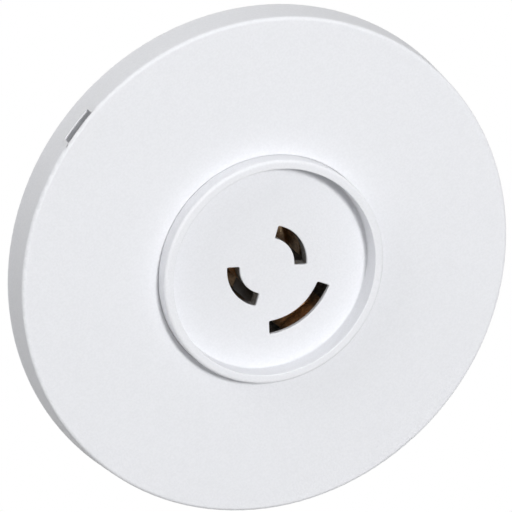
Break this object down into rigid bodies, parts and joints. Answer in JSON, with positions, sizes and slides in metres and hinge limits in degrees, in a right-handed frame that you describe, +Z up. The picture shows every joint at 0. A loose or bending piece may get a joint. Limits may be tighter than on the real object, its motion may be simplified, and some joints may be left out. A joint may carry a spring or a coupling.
{
  "type": "electrical ceiling rose",
  "caption": "Round white ceiling rose with a snap-off cover and a collared socket whose curved slots take a lamp plug; screw terminals at the back.",
  "frame": {"origin": "centre of the ceiling plane, on the socket's axis, where the base plate's back face meets the ceiling", "axes": "+Z up into the ceiling box, so the face looks down; -Y towards the earth slot, +X and -X towards the live slots"},
  "size_m": [0.1012, 0.1012, 0.0259],
  "materials": {
    "white_plastic": "fine matte moulded",
    "dark_plastic": "moulded phenolic",
    "bronze": "rolled strip",
    "brass": "machined",
    "spring_steel": "rolled strip",
    "plated_steel": "zinc plated"
  },
  "bodies": {
    "socket": {"base_plate": "white_plastic", "socket_front": "white_plastic", "contact_housing": "dark_plastic", "line_contact": "bronze", "line_spring": "spring_steel", "line_terminal_block": "brass", "neutral_contact": "bronze", "neutral_spring": "spring_steel", "neutral_terminal_block": "brass", "earth_contact": "bronze", "earth_spring": "spring_steel", "earth_terminal_block": "brass", "housing_screws": "plated_steel", "insert_screws": "plated_steel"},
    "cover": {"cover_disc": "white_plastic"},
    "line_clamp": {"line_clamp_plate": "plated_steel"},
    "line_screw": {"line_terminal_screw": "plated_steel"},
    "neutral_clamp": {"neutral_clamp_plate": "plated_steel"},
    "neutral_screw": {"neutral_terminal_screw": "plated_steel"},
    "earth_clamp": {"earth_clamp_plate": "plated_steel"},
    "earth_screw": {"earth_terminal_screw": "plated_steel"}
  },
  "joints": [
    {"name": "cover_pull", "type": "slide", "parent": "socket", "child": "cover", "axis": [0, 0, -1], "range_m": [0, 0.02]},
    {"name": "line_clamp_lift", "type": "slide", "parent": "socket", "child": "line_clamp", "axis": [0, 0, 1], "range_m": [0, 0.0021]},
    {"name": "line_screw_turn", "type": "hinge", "parent": "line_clamp", "child": "line_screw", "pos_m": [0.0135, 0, 0.0117], "axis": [0, 0, 1], "range_deg": [0, 1263]},
    {"name": "neutral_clamp_lift", "type": "slide", "parent": "socket", "child": "neutral_clamp", "axis": [0, 0, 1], "range_m": [0, 0.0021]},
    {"name": "neutral_screw_turn", "type": "hinge", "parent": "neutral_clamp", "child": "neutral_screw", "pos_m": [-0.0135, 0, 0.0117], "axis": [0, 0, 1], "range_deg": [0, 1263]},
    {"name": "earth_clamp_lift", "type": "slide", "parent": "socket", "child": "earth_clamp", "axis": [0, 0, 1], "range_m": [0, 0.0021]},
    {"name": "earth_screw_turn", "type": "hinge", "parent": "earth_clamp", "child": "earth_screw", "pos_m": [0, -0.0135, 0.0117], "axis": [0, 0, 1], "range_deg": [0, 1263]}
  ],
  "couplings": [
    {"joint": "line_screw_turn", "follows": "line_clamp_lift", "rad_per_m": 10472},
    {"joint": "neutral_screw_turn", "follows": "neutral_clamp_lift", "rad_per_m": 10472},
    {"joint": "earth_screw_turn", "follows": "earth_clamp_lift", "rad_per_m": 10472}
  ]
}
